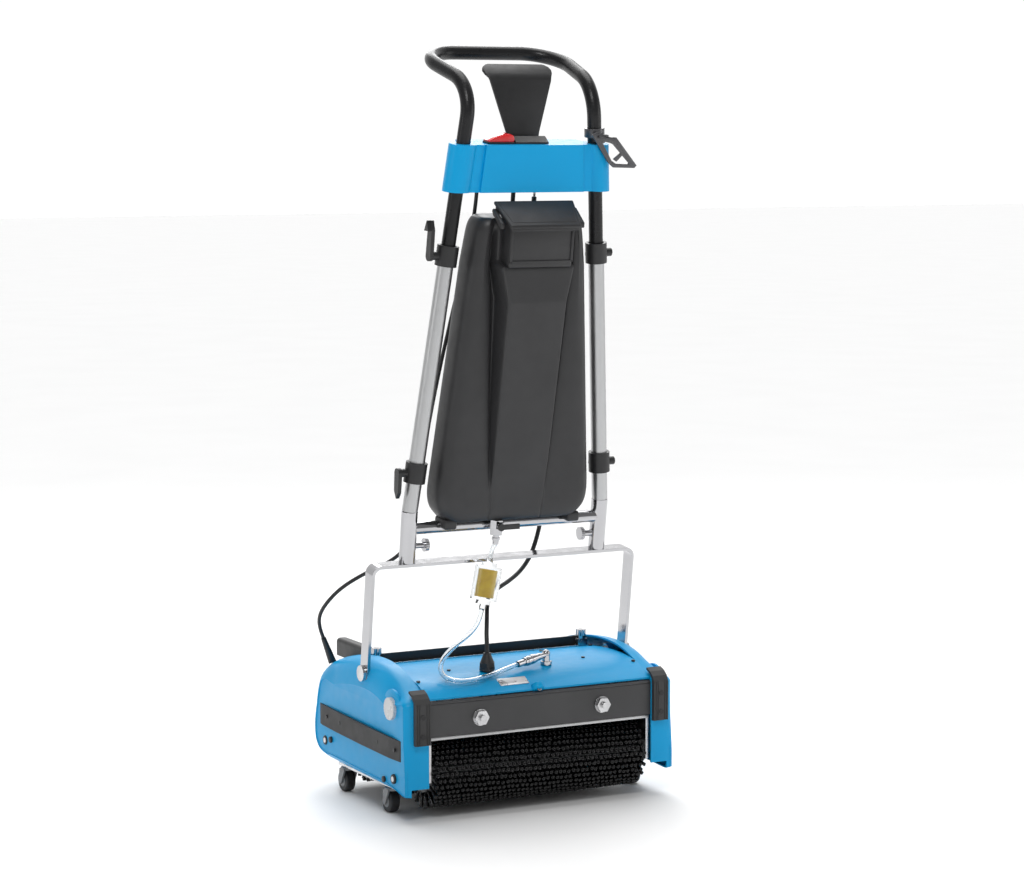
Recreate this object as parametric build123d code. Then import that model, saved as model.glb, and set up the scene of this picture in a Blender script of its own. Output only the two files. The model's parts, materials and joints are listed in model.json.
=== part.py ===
from build123d import *
import os
from math import cos, pi, radians, sin, tan

os.makedirs("parts", exist_ok=True)

# Lengths in millimetres. +Z up, -Y is the machine's front, the operator stands behind it (+Y).
# Origin on the floor, under the middle of the base.

# Base
INNER = 196          # half width of the covers between the two side housings
SIDE_MAX = 238       # half width over the side housings
HALF = 240           # half width over the bumpers, knobs and pivot bolts
FRONT = 153          # front plate face, measured forward from the middle
WALL = 3             # moulded wall thickness
PLATE_IN, PLATE_OUT = 190, 195      # chassis side plates
GAP = 0.4            # running gap between moving mouldings
FIT = 0.05           # radial clearance of a shaft in its hole

# Running gear
BRUSH_Y, BRUSH_Z, BRUSH_R, CORE_R = 105, 67, 55, 30
BRUSH_HALF = 187
DRUM_R = 36
JOURNAL_R = 9
PULLEY_R, MOTOR_PULLEY_R = 16, 11
PULLEY_X0, PULLEY_X1 = 198, 210
MOTOR_Y, MOTOR_Z, MOTOR_R, ROTOR_R = -5, 168, 38, 26
CASTOR_X, CASTOR_Y, TRAIL = 216, (-68, 95), 8
WHEEL_R, WHEEL_HALF, AXLE_R = 18, 8, 3
FLANGE_Z0, FLANGE_Z1 = 42, 46

# Handle: its own frame is leant forward about the pivot line
PIVOT_Z, LEAN = 205, 7.7
MIDDLE = 15.5     # distance of the base's middle behind the handle's pivot line
BOLT_UP = 5          # pivot bolt above the frame's origin
BAIL_HALF, BAIL_TOP, BAIL_T, BAIL_W = 234, 180, 5, 25
SOCKET_X, SOCKET_R, SOCKET_TOP = 169.4, 13, 262
TUBE_R, LOOP_R = 12.5, 11
TUBE_TOP_X, TUBE_TOP = 131, 663
SLOPE = (SOCKET_X - TUBE_TOP_X) / (TUBE_TOP - SOCKET_TOP)
CROSS_UP, CROSS_R = 234, 10
KNOB_UP = 206
CONSOLE_0, CONSOLE_1 = 762, 835
CONSOLE_Y0, CONSOLE_Y1 = -20, 45
TANK_0, TANK_1, TANK_Y = 245, 725, 30
TONGUE_Y = 62
HOSE_R, CABLE_R, LEAD_R = 4, 3.5, 3


def block(x0, x1, y0, y1, z0, z1):
    """An upright box between two corners."""
    return Pos((x0 + x1) / 2, (y0 + y1) / 2, (z0 + z1) / 2) * Box(x1 - x0, y1 - y0, z1 - z0)


def rod(start, end, radius):
    """A round bar from one point to another."""
    start, end = Vector(*start), Vector(*end)
    return Plane(start, z_dir=end - start) * Pos(0, 0, (end - start).length / 2) * Cylinder(
        radius, (end - start).length)


def prism_x(outline, x0, x1):
    """A (y, z) outline run from x0 to x1."""
    face = Plane.YZ.offset(x0) * make_face(Polyline(*outline, close=True))
    return extrude(face, amount=x1 - x0)


def prism_y(outline, y0, y1):
    """An (x, z) outline run from y0 to y1."""
    face = Plane.XZ.offset(-y0) * make_face(Polyline(*outline, close=True))
    return extrude(face, amount=y0 - y1)


def prism_z(outline, z0, z1):
    """An (x, y) outline run from z0 to z1."""
    return extrude(Pos(0, 0, z0) * make_face(Polyline(*outline, close=True)), amount=z1 - z0)


def mirrored(shape):
    """The same shape on the other side of the middle plane."""
    return mirror(shape, about=Plane.YZ)


def leant(shape):
    """Puts a shape from the handle's frame into the machine's frame."""
    return Pos(0, 0, PIVOT_Z) * Rot(LEAN, 0, 0) * shape


def leant_point(x, y, z):
    """A point of the handle's frame, in the machine's frame."""
    c, s = cos(radians(LEAN)), sin(radians(LEAN))
    return (x, y * c - z * s, PIVOT_Z + y * s + z * c)


def leg_x(up):
    """Distance of the handle's legs from the middle, at a height in the handle's frame."""
    return SOCKET_X - SLOPE * (up - SOCKET_TOP)


def save(name, shape):
    solids = [Pos(0, -MIDDLE, 0) * solid for solid in shape.solids()]
    export_step(solids[0] if len(solids) == 1 else Compound(children=solids), f"parts/{name}.step")


def group(*shapes):
    return Compound(children=list(shapes))


# ---------------------------------------------------------------- side housings
HOUSING = [(-155, 41), (-128, 40), (140, 46), (170, 56), (188, 80), (194, 118), (186, 160), (170, 188),
           (148, 205), (120, 215), (90, 222), (50, 228), (10, 231), (-30, 230), (-65, 224), (-95, 214),
           (-125, 201), (-148, 192), (-155, 184)]
PLAN = [(190, -155), (223, -155), (229, -148), (234, -132), (237, -100), (SIDE_MAX, 0), (237, 100),
        (235, 150), (230, 180), (220, 195), (190, 195)]
SECTION = [(190, 30), (226, 30), (230, 41), (236, 60), (SIDE_MAX, 94), (SIDE_MAX, 126), (230, 182),
           (216, 233), (190, 233)]


def inset(outline, amount):
    """The outline moved inward by an amount (outward when negative), as a closed wire's points."""
    face = offset(make_face(Polyline(*outline, close=True)), amount=-amount, kind=Kind.INTERSECTION)
    return face


def housing_block(amount, low=0):
    """The right housing's outer form, every outer face moved inward by an amount."""
    side = extrude(Plane.YZ.offset(INNER + 0.5) * inset(HOUSING, amount), amount=50)
    plan = extrude(Pos(0, 0, low) * inset(PLAN, amount), amount=260)
    section = extrude(Plane.XZ.offset(-200) * inset(SECTION, amount), amount=360)
    return side & plan & section


def side_cover():
    cavity = housing_block(WALL) + block(INNER, 226, -151, 184, 30, 60)
    cover = housing_block(0) - cavity
    knob_hole = rod((210, KNOB_SIDE[0], KNOB_SIDE[1]), (HALF, KNOB_SIDE[0], KNOB_SIDE[1]), 4 + FIT)
    bolt_hole = rod((200, *BOLT_YZ), (HALF, *BOLT_YZ), 6.1)
    bumper_seat = (housing_block(-3) & prism_x(BUMPER, 200, 245)) - housing_block(1.7)
    return cover - knob_hole - bolt_hole - bumper_seat


KNOB_SIDE = (-103, 172)
BOLT_YZ = leant_point(0, 0, BOLT_UP)[1:]
BUMPER = [(-151, 94), (-151, 126), (200, 136), (200, 102)]


def bumper():
    strip = (housing_block(-2) & prism_x(BUMPER, 205, HALF)) - housing_block(1.6)
    return strip


def corner_strip():
    """Ribbed angle strip over the front corner, wrapped back over the arch."""
    outline = [(-163, 122), (-163, 184), (-158, 193), (-150, 199.5), (-139, 204), (-137.6, 200.6),
               (-148.4, 196), (-155.4, 188.4), (-155.4, 122)]
    strip = prism_x(outline, 197, 223)
    for x in (200.5, 204, 216.5, 220):
        strip -= prism_x([(-164, 121), (-164, 185), (-159, 199), (-162, 184), (-162, 121)], x - 0.8, x + 0.8)
    for z in (136, 166):
        strip -= rod((210.4, -165, z), (210.4, -161.5, z), 4.2)
    return strip


# ---------------------------------------------------------------- chassis and covers
STAR_X, STAR_Y = 186, 54


def base_frame():
    plate = [(-149, 60), (-120, 47), (120, 47), (148, 60), (149, 150), (120, 190), (60, 205), (-30, 207),
             (-100, 198), (-138, 182), (-149, 172)]
    frame = prism_x(plate, PLATE_IN, PLATE_OUT)
    for y in (-BRUSH_Y, 0, BRUSH_Y):
        frame -= rod((180, y, BRUSH_Z), (200, y, BRUSH_Z), JOURNAL_R + FIT)
    frame -= rod((180, MOTOR_Y, MOTOR_Z), (200, MOTOR_Y, MOTOR_Z), 7)
    flange = block(PLATE_IN, 225, CASTOR_Y[0] - 20, CASTOR_Y[1] + 20, FLANGE_Z0, FLANGE_Z1)
    for y in CASTOR_Y:
        flange -= rod((CASTOR_X, y, 40), (CASTOR_X, y, 50), 5 + FIT)
    frame += flange + block(PLATE_IN, PLATE_OUT, CASTOR_Y[0] - 20, CASTOR_Y[1] + 20, FLANGE_Z1, 57)
    frame += block(178, PLATE_OUT, 49, 59, 190, 222)
    frame -= rod((STAR_X, STAR_Y, 213), (STAR_X, STAR_Y, 225), 3 + FIT)
    both = frame + mirrored(frame)
    both += block(-PLATE_IN, PLATE_IN, 49, 52, 128, 212)
    both += block(-PLATE_IN, PLATE_IN, -148, -143, 150, 180)
    return both


def front_plate():
    plate = prism_x([(-FRONT, 131), (-FRONT, 181), (-149.3, 186.2), (-146.2, 185.8), (-149.2, 179), (-149.2, 131)],
                    -INNER, INNER)
    for x in (-NUT_X, NUT_X):
        plate -= rod((x, -160, NUT_Z), (x, -140, NUT_Z), 5.5)
    return plate


NUT_X, NUT_Z = 107.5, 155.4


def front_nut(x):
    """Hex nut on the stud that holds the squeegee and plate, with the round stud end in it."""
    nut = Plane((x, -FRONT, NUT_Z), z_dir=(0, -1, 0)) * extrude(RegularPolygon(12.35, 6, rotation=30), 7)
    washer = rod((x, -FRONT, NUT_Z), (x, -FRONT - 1.5, NUT_Z), 13)
    return nut + washer + rod((x, -FRONT - 12, NUT_Z), (x, -148.1, NUT_Z), 5)


def rear_plate():
    return mirror(prism_x([(-158, 131), (-158, 150), (-150, 172), (-147, 171), (-155, 149), (-155, 131)],
                          -INNER, INNER), about=Plane.XZ)


COVER_TOP = [(-149, 190.5), (-117, 206.5), (-90, 213), (-60, 216), (-20, 216.5), (20, 214), (48, 210)]


def top_cover():
    top = Spline(*COVER_TOP)
    under = Spline(*[(y, z - WALL) for y, z in COVER_TOP])
    face = make_face([top, under, Line(top @ 0, under @ 0), Line(top @ 1, under @ 1)])
    cover = extrude(Plane.YZ.offset(-INNER) * face, amount=2 * INNER)
    cover -= rod((*GLAND[:2], 200), (*GLAND[:2], 230), 8.1)
    return cover - rod((*ELBOW[:2], 200), (*ELBOW[:2], 230), 6.1)


GLAND = (-63, -90, 214)
ELBOW = (44, -86, 215)
GLAND_TOP = 242


def cable_gland():
    x, y, z = GLAND
    body = rod((x, y, z - 8), (x, y, z + 3), 8)
    body += Pos(x, y, z + 6) * extrude(RegularPolygon(13, 6), 7)
    body += rod((x, y, z + 0.8), (x, y, z + 6.5), 12)
    body += Pos(x, y, z + 19.5) * Cone(11, 6, 13)
    body += rod((x, y, z + 25), (x, y, GLAND_TOP), 6)
    return body - rod((x, y, GLAND_TOP - 12), (x, y, GLAND_TOP + 1), CABLE_R)


COUPLING_0, COUPLING_1 = (-16, -103, 221.5), (30, -90, 228)
COUPLING_AXIS = (Vector(*COUPLING_1) - Vector(*COUPLING_0)).normalized()


def hose_elbow():
    x, y, z = ELBOW
    end = Vector(*COUPLING_1)
    return (rod((x, y, z - 9), (x, y, 232), 6) + rod((x, y, z - 0.6), (x, y, z + 4), 9)
            + rod((x, y, 229), (end.X, end.Y, end.Z), 4.5) + Pos(x, y, 231) * Sphere(6.4))


def quick_coupling():
    a, b = Vector(*COUPLING_0), Vector(*COUPLING_1)
    step = (b - a) / 10
    at = [tuple(a + step * n) for n in range(11)]
    return (rod(at[0], at[3], 5.2) + rod(at[3], at[8], 6.8) + rod(at[4], at[5], 7.6)
            + rod(at[6], at[7], 7.6) + rod(at[8], at[10], 5.6))


def cover_screws():
    """Small pan-head screws of the top cover, the corner strips and the bumpers."""
    screws = []
    for side in (-1, 1):
        screws += [Pos(side * 191, -107, 210.2) * Cylinder(3, 3), Pos(side * 190, 30, 213.9) * Cylinder(3, 3),
                   Pos(side * 90, 15, 214.9) * Cylinder(3, 2.4), Pos(side * 120, -70, 215.9) * Cylinder(3, 2.4)]
        for z in (136, 166):
            screws.append(rod((side * 210.4, -161.4, z), (side * 210.4, -163.6, z), 4))
        for y in (-120, -60, 10, 80, 130):
            z = 110 + (y + 151) * 9 / 321
            screws.append(rod((side * 238.2, y, z), (side * 239.9, y, z), 3))
    return screws


def pivot_bolt():
    y, z = BOLT_YZ
    return (rod((198, y, z), (BAIL_HALF + 0.5, y, z), 6) + rod((BAIL_HALF + 0.4, y, z), (HALF, y, z), 12.5)
            + rod((200, y, z), (212, y, z), 11))


# ---------------------------------------------------------------- motor and drive
def motor():
    x = lambda a, b, r: rod((a, MOTOR_Y, MOTOR_Z), (b, MOTOR_Y, MOTOR_Z), r)
    body = x(30, 176, MOTOR_R) + x(22, 30, 30) + x(176, 189.5, 26)
    for n in range(12):
        angle = 2 * pi * n / 12
        body -= rod((45, MOTOR_Y + 40 * cos(angle), MOTOR_Z + 40 * sin(angle)),
                    (160, MOTOR_Y + 40 * cos(angle), MOTOR_Z + 40 * sin(angle)), 4)
    return body - x(146, 195, 5 + FIT) - x(42, 148, ROTOR_R + 1.5)


def pulley(y, z, radius):
    wheel = rod((PULLEY_X0, y, z), (PULLEY_X1, y, z), radius)
    for n in range(int(radius * 1.25)):
        angle = 2 * pi * n / int(radius * 1.25)
        wheel -= rod((PULLEY_X0 - 1, y + radius * cos(angle), z + radius * sin(angle)),
                     (PULLEY_X1 + 1, y + radius * cos(angle), z + radius * sin(angle)), 0.9)
    return wheel


def roller(y, radius, journal_end=-PLATE_OUT - 1):
    """A roller between the side plates, on journals, with its belt pulley on the right."""
    body = rod((-BRUSH_HALF, y, BRUSH_Z), (BRUSH_HALF, y, BRUSH_Z), radius)
    body += rod((journal_end, y, BRUSH_Z), (PULLEY_X0 + 1, y, BRUSH_Z), JOURNAL_R)
    return body + pulley(y, BRUSH_Z, PULLEY_R)


def bristles(y):
    """The outer form of the spiral bristle rows around one brush core."""
    outer = rod((-BRUSH_HALF, y, BRUSH_Z), (BRUSH_HALF, y, BRUSH_Z), BRUSH_R)
    return outer - rod((-BRUSH_HALF - 1, y, BRUSH_Z), (BRUSH_HALF + 1, y, BRUSH_Z), CORE_R + 0.05)


def pickup_drum():
    drum = roller(0, DRUM_R)
    for n in range(8):
        angle = 2 * pi * n / 8
        drum -= Pos(0, DRUM_R * cos(angle), BRUSH_Z + DRUM_R * sin(angle)) * Rot(
            360 * n / 8, 0, 0) * Box(2 * BRUSH_HALF - 20, 4, 4)
    return drum


def motor_pulley():
    """Drive pulley, its shaft and the rotor inside the motor."""
    return (rod((140, MOTOR_Y, MOTOR_Z), (PULLEY_X1 + 2, MOTOR_Y, MOTOR_Z), 5)
            + rod((46, MOTOR_Y, MOTOR_Z), (144, MOTOR_Y, MOTOR_Z), ROTOR_R)
            + pulley(MOTOR_Y, MOTOR_Z, MOTOR_PULLEY_R))


def drive_belt():
    wheels = [(-BRUSH_Y, BRUSH_Z, PULLEY_R), (BRUSH_Y, BRUSH_Z, PULLEY_R), (MOTOR_Y, MOTOR_Z, MOTOR_PULLEY_R)]
    loops = []
    for extra in (GAP, GAP + 2.6):
        circles = Sketch() + [Pos(y, z) * Circle(r + extra) for y, z, r in wheels]
        loops.append(make_hull(circles.edges()))
    return extrude(Plane.YZ.offset(PULLEY_X0 + 1) * (loops[1] - loops[0]), amount=PULLEY_X1 - PULLEY_X0 - 2)


# ---------------------------------------------------------------- castors
def castor_fork(x, y):
    wheel_y = y + TRAIL
    fork = rod((x, y, 36.8), (x, y, 40.8), 13) + rod((x, y, 40), (x, y, 49), 5)
    for side in (-1, 1):
        cheek = prism_x([(y - 9, 38.5), (y + 9, 38.5), (wheel_y + 5, 16), (wheel_y, 12), (wheel_y - 5, 16)],
                        x + side * 11 - 1.5, x + side * 11 + 1.5)
        fork += cheek
    return fork + rod((x - 12.5, wheel_y, WHEEL_R), (x + 12.5, wheel_y, WHEEL_R), AXLE_R)


def castor_wheel(x, y):
    wheel = rod((x - WHEEL_HALF, y + TRAIL, WHEEL_R), (x + WHEEL_HALF, y + TRAIL, WHEEL_R), WHEEL_R)
    wheel = fillet(wheel.edges().filter_by(GeomType.CIRCLE), 3)
    return wheel - rod((x - 20, y + TRAIL, WHEEL_R), (x + 20, y + TRAIL, WHEEL_R), AXLE_R + FIT)


# ---------------------------------------------------------------- recovery tank and knobs
def recovery_tank():
    outer = [(64, 128), (64, 225), (69, 225), (112, 214), (144, 178), (144, 128)]
    inner = [(67, 131), (67, 240), (69, 240), (113, 220), (141, 184), (141, 131)]
    tank = prism_x(outer, -172, 184) - prism_x(inner, -169, 181)
    grip = block(-30, 30, 66, 80, 206, 210) + block(-34, -30, 63, 80, 198, 210) + block(30, 34, 63, 80, 198, 210)
    return tank + grip


def cable_box():
    """Housing at the rear left that takes the brush lead into the chassis."""
    body = block(-195.5, -175, 84, 190, 206, 234)
    body = fillet(body.edges().filter_by(Axis.Z), 8)
    return fillet(body.faces().sort_by(Axis.Z)[-1].edges(), 6) - block(-192.5, -178, 88, 186, 200, 228)


def star_knob(side):
    x, y = side * STAR_X, STAR_Y
    knob = rod((x, y, 214), (x, y, 226), 3) + rod((x, y, 222.4), (x, y, 237), 7)
    for n in range(5):
        angle = 2 * pi * n / 5
        knob += rod((x + 6 * cos(angle), y + 6 * sin(angle), 227), (x + 6 * cos(angle), y + 6 * sin(angle), 237), 3)
    return knob


def side_knob():
    """Knurled brush-pressure knob on a side housing."""
    y, z = KNOB_SIDE
    knob = rod((234.3, y, z), (HALF, y, z), 17.5) + rod((214, y, z), (234, y, z), 4)
    for n in range(24):
        angle = 2 * pi * n / 24
        at = (y + 17.8 * cos(angle), z + 17.8 * sin(angle))
        knob -= rod((233, *at), (HALF + 1, *at), 1.2)
    return knob


# ---------------------------------------------------------------- handle, in its own leant frame
def bail():
    outer = [(-BAIL_HALF, -19), (BAIL_HALF, -19), (BAIL_HALF, BAIL_TOP), (-BAIL_HALF, BAIL_TOP)]
    hoop = prism_y(outer, -BAIL_W / 2, BAIL_W / 2)
    corners = hoop.edges().filter_by(Axis.Y).group_by(Axis.Z)[-1]
    hoop = fillet(corners, 16)
    inside = prism_y([(-BAIL_HALF + BAIL_T, -30), (BAIL_HALF - BAIL_T, -30),
                      (BAIL_HALF - BAIL_T, BAIL_TOP - BAIL_T), (-BAIL_HALF + BAIL_T, BAIL_TOP - BAIL_T)], -20, 20)
    inside = fillet(inside.edges().filter_by(Axis.Y).group_by(Axis.Z)[-1], 11)
    hoop -= inside
    ends = rod((-250, 0, -6.5), (250, 0, -6.5), BAIL_W / 2) + block(-250, 250, -20, 20, -6.5, 200)
    hoop = hoop & ends
    hoop -= rod((-250, 0, BOLT_UP), (250, 0, BOLT_UP), 6 + FIT)
    return hoop - rod((-250, 0, -9.5), (250, 0, -9.5), 3)


def tube_socket():
    body = rod((SOCKET_X, 0, BAIL_TOP), (SOCKET_X, 0, SOCKET_TOP), SOCKET_R)
    body -= rod((140, 0, KNOB_UP), (SOCKET_X - 4, 0, KNOB_UP), 5 + FIT)
    return body - rod((140, 0, CROSS_UP), (SOCKET_X - 8, 0, CROSS_UP), CROSS_R + 0.05)


def cross_tube():
    end = SOCKET_X - 8.2
    return rod((-end, 0, CROSS_UP), (end, 0, CROSS_UP), CROSS_R) - rod((-200, 0, CROSS_UP), (200, 0, CROSS_UP), 8)


def lock_knob():
    knob = rod((SOCKET_X - 4.4, 0, KNOB_UP), (141, 0, KNOB_UP), 5) + rod((142, 0, KNOB_UP), (136, 0, KNOB_UP), 10.5)
    for n in range(18):
        angle = 2 * pi * n / 18
        at = (10.7 * cos(angle), KNOB_UP + 10.7 * sin(angle))
        knob -= rod((135, *at), (143, *at), 0.9)
    return knob


def lower_tube():
    a, b = (leg_x(SOCKET_TOP), 0, SOCKET_TOP + 0.1), (leg_x(TUBE_TOP), 0, TUBE_TOP)
    return rod(a, b, TUBE_R) - rod((leg_x(250), 0, 250), (leg_x(680), 0, 680), TUBE_R - 1.5)


LOOP_BEND = (leg_x(923.7), 0, 923.7)
LOOP_BACK = (124, 163, 955)


def handle_loop():
    points = [(leg_x(TUBE_TOP), 0, TUBE_TOP + 0.2), LOOP_BEND, LOOP_BACK]
    points += [(-x, y, z) for x, y, z in reversed(points)]
    path = FilletPolyline(*points, radius=60)
    return sweep(Plane(path @ 0, z_dir=path % 0) * Circle(LOOP_R), path=path)


def collar(up):
    """Clamp collar square to the leg, with its clamp screw boss pointing outward."""
    centre = Vector(leg_x(up), 0, up)
    along = Vector(-SLOPE, 0, 1).normalized()
    body = rod(centre - along * 16, centre + along * 16, 17)
    body += rod(centre, centre + Vector(26, 0, 0), 6.5)
    body += block(centre.X - 6, centre.X + 6, 14, 24, up - 9, up + 9)
    radius = TUBE_R + 0.1
    return body - rod(centre - along * 20, centre + along * 20, radius)


COLLAR_LOW, COLLAR_HIGH = 324, 663


def cable_hook(up, reach):
    """Cord hook on the left leg: a peg in the collar's boss and a curved blade."""
    x = -leg_x(up) - 26.4
    sign = 1 if reach > 0 else -1
    hook = rod((x, 0, up), (x - 6, 0, up), 8)
    blade = prism_x([(-8, up), (8, up), (6, up + reach * 0.7), (-2, up + reach), (-8, up + reach * 0.75)], x - 6, x)
    lip = prism_x([(-8, up + reach * 0.72), (6, up + reach * 0.7), (-1, up + reach)], x - 12, x - 5)
    return hook + blade + lip if sign > 0 else hook + blade


def console():
    def form(shrink, y0, y1):
        return prism_y([(-112 + shrink, CONSOLE_0 + shrink), (112 - shrink, CONSOLE_0 + shrink),
                        (105 - shrink, CONSOLE_1 - shrink), (-105 + shrink, CONSOLE_1 - shrink)], y0, y1)
    body = form(0, CONSOLE_Y0 + 4, CONSOLE_Y1)
    for side in (-1, 1):
        body += rod((side * leg_x(740), 0, 740), (side * leg_x(860), 0, 860), 22)
    body = body & block(-150, 150, -30, CONSOLE_Y1, CONSOLE_0, CONSOLE_1)
    body += prism_y([(-90, CONSOLE_0), (90, CONSOLE_0), (84, CONSOLE_1), (-84, CONSOLE_1)], CONSOLE_Y0, 0)
    body -= form(4, CONSOLE_Y0 + 8, CONSOLE_Y1 + 1) - rod(
        (-leg_x(740), 0, 740), (-leg_x(860), 0, 860), 15) - rod((leg_x(740), 0, 740), (leg_x(860), 0, 860), 15)
    for side in (-1, 1):
        body -= rod((side * leg_x(740), 0, 740), (side * leg_x(860), 0, 860), LOOP_R + 0.1)
    return body - rod((*MOTOR_ENTRY[:2], 750), (*MOTOR_ENTRY[:2], 770), 5) - rod(
        (*LEAD_ENTRY[:2], 750), (*LEAD_ENTRY[:2], 770), 4.5) - block(-6, 6, 22, 33, 825, 840) - block(
        -76, -29, -10, 14, 825, 840)


MOTOR_ENTRY = (-4, 35, CONSOLE_0)
LEAD_ENTRY = (-68, 35, CONSOLE_0)


def console_back():
    """Rear closing plate of the console, with the electrical parts behind it."""
    plate = prism_y([(-107.8, CONSOLE_0 + 4.2), (107.8, CONSOLE_0 + 4.2), (100.8, CONSOLE_1 - 4.2),
                     (-100.8, CONSOLE_1 - 4.2)], CONSOLE_Y1 - 4, CONSOLE_Y1 - 1)
    return plate


def control_unit():
    """Cable terminals, fuse and starter block inside the console."""
    return block(-80, 60, 4, 14, 775, 818) + block(-40, 20, 14, 22, 780, 812)


def red_switch():
    body = prism_y([(-74, 836.5), (-31, 836.5), (-31, 846), (-38, 848.5), (-60, 846), (-74, 840)], -8, 12)
    return fillet(body.edges().filter_by(Axis.Y).sort_by(Axis.Z)[-3:], 2)


def thumb_latch():
    """Black latch that frees the dead-man paddle, on the console's top."""
    body = prism_x([(-10, 835.4), (14, 835.4), (14, 843), (4, 846), (-10, 838)], -29, 28)
    return fillet(body.edges().filter_by(Axis.X).sort_by(Axis.Z)[-2:], 1.5)


PADDLE_LOW, PADDLE_CREASE, PADDLE_TOP = (28.1, 849.4), (45.2, 928), (68.3, 945.5)


def paddle():
    """Dead-man paddle: a flared plate with a flange bent back at the top and a stem in the console."""
    def panel(low, high, half_low, half_high):
        rise = Vector(0, high[0] - low[0], high[1] - low[1])
        face = Plane(origin=(0, low[0], low[1]), x_dir=(1, 0, 0), z_dir=(0, -rise.Z, rise.Y))
        outline = [(-half_low, 0), (half_low, 0), (half_high, rise.length), (-half_high, rise.length)]
        return extrude(face * make_face(Polyline(*outline, close=True)), amount=5, both=False)
    plate = panel(PADDLE_LOW, PADDLE_CREASE, 28, 53)
    flange = panel(PADDLE_CREASE, PADDLE_TOP, 53, 58)
    joint = rod((-53, PADDLE_CREASE[0], PADDLE_CREASE[1] - 1), (53, PADDLE_CREASE[0], PADDLE_CREASE[1] - 1), 3)
    stem = block(-5, 5, 24.2, 28.8, 815, 852)
    return plate + flange + joint + stem


def cord_keeper():
    """Strain-relief loop for the mains lead, clamped on the right leg above the console."""
    x, up = leg_x(852), 852
    ring = rod((leg_x(up - 7), 0, up - 7), (leg_x(up + 7), 0, up + 7), 16)
    loop = extrude(SlotOverall(66, 30) - SlotOverall(48, 14), 5)
    loop = Pos(x + 40, -13, up - 12) * Rot(0, 32, 0) * Rot(90, 0, 0) * loop
    arm = block(x + 8, x + 20, -18, -8, up - 7, up + 3)
    leg = rod((leg_x(up - 50), 0, up - 50), (leg_x(up + 50), 0, up + 50), LOOP_R + 0.4)
    return ring + arm + loop - leg


# ---------------------------------------------------------------- solution tank
def tank_outline(shrink):
    return [(-118 + shrink, TANK_0 + shrink), (118 - shrink, TANK_0 + shrink), (131 - shrink, 262),
            (131 - shrink, 292), (97 - shrink, 650), (88 - shrink, TANK_1 - 14), (78 - shrink, TANK_1 - shrink),
            (-78 + shrink, TANK_1 - shrink), (-88 + shrink, TANK_1 - 14), (-97 + shrink, 650),
            (-131 + shrink, 292), (-131 + shrink, 262)]


LID_SLOPE = (747 - 719) / (72 - 30)


def solution_tank():
    tongue = [(-52, 262), (52, 262), (57, 598), (57.5, 664), (57.5, 700), (-57.5, 700), (-57.5, 664), (-57, 598)]
    inner_tongue = [(-48, 266), (48, 266), (53, 598), (53.5, 664), (53.5, 730), (-53.5, 730), (-53.5, 664),
                    (-53, 598)]
    tank = prism_y(tank_outline(0), -TANK_Y, TANK_Y) + prism_y(tongue, -TONGUE_Y, 0)
    neck = prism_x([(-60, 660), (-60, 714.6), (-27, 736.4), (-27, 660)], -57.5, 57.5)
    hollow = prism_y(tank_outline(4), -TANK_Y + 4, TANK_Y - 4) + prism_y(inner_tongue, -TONGUE_Y + 6, -8)
    hollow -= block(-100, 100, -31, -25.9, 721, 760)
    foot = rod((109, -20, 240), (109, 14, 240), 6) & block(100, 120, -20, -12, 230, 246)
    hollow = hollow - block(-60, 60, -80, 40, 745, 800)
    return tank + neck - hollow + foot + mirrored(foot)


def tank_lid():
    lid = prism_x([(-72, 708), (-72, 719), (-30, 747), (-24, 747), (-24, 739)], -70, 70)
    lid = lid & prism_z([(-61, -80), (61, -80), (70, -24), (-70, -24)], 700, 760)
    pocket = prism_x([(-68, 706), (-68, 715), (-28, 741), (-28, 736)], -57, 57)
    return lid - pocket


VALVE = (-26, -20)


def valve_body():
    x, y = VALVE
    body = Pos(x, y, 221) * extrude(RegularPolygon(11, 6), 23.9)
    return body + rod((x, y, 205), (x, y, 221), 5) + rod((x, y, 212), (x, y, 216), 6.5) + rod(
        (x, y - 8, 236), (x, y - 14, 236), 4)


def valve_lever():
    x, y = VALVE
    return rod((x, y - 14.4, 236), (x, y - 18, 236), 6) + block(x, x + 32, y - 18, y - 14.4, 232, 240)


VALVE_TIP = leant_point(VALVE[0], VALVE[1], 205)
FILTER = Vector(-46, -54, 345)
FILTER_AXIS = Vector(16, 5, 69).normalized()


def along_filter(distance):
    return FILTER + FILTER_AXIS * distance


def filter_housing():
    """Clear in-line strainer bowl with its two hose nipples."""
    shell = rod(along_filter(-27), along_filter(27), 21.5) - rod(along_filter(-24), along_filter(24), 19)
    shell += rod(along_filter(27), along_filter(33), 12) + rod(along_filter(-33), along_filter(-27), 12)
    return shell + rod(along_filter(32), along_filter(40), 5) + rod(along_filter(-40), along_filter(-32), 5)


def filter_insert():
    return rod(along_filter(-22), along_filter(22), 15) - rod(along_filter(-23), along_filter(19), 12)


# ---------------------------------------------------------------- hoses and leads
def tube_along(name, points, radius):
    """Straight runs joined by arcs as large as the runs allow, swept by a circle."""
    spots = [Vector(*p) for p in points]
    radii = []
    for before, here, after in zip(spots, spots[1:], spots[2:]):
        run_in, run_out = here - before, after - here
        half_turn = radians(run_in.get_angle(run_out)) / 2
        radii.append(0.45 * min(run_in.length, run_out.length) / tan(half_turn))
    path = FilletPolyline(*spots, radius=radii) if radii else Line(*spots)
    solid = sweep(Plane(path @ 0, z_dir=path % 0) * Circle(radius), path=path)
    print(name, "length", round(path.length), "least radius", round(min(radii, default=0), 1),
          "volume ratio", round(solid.volume / (pi * radius**2 * path.length), 4))
    return solid


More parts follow.
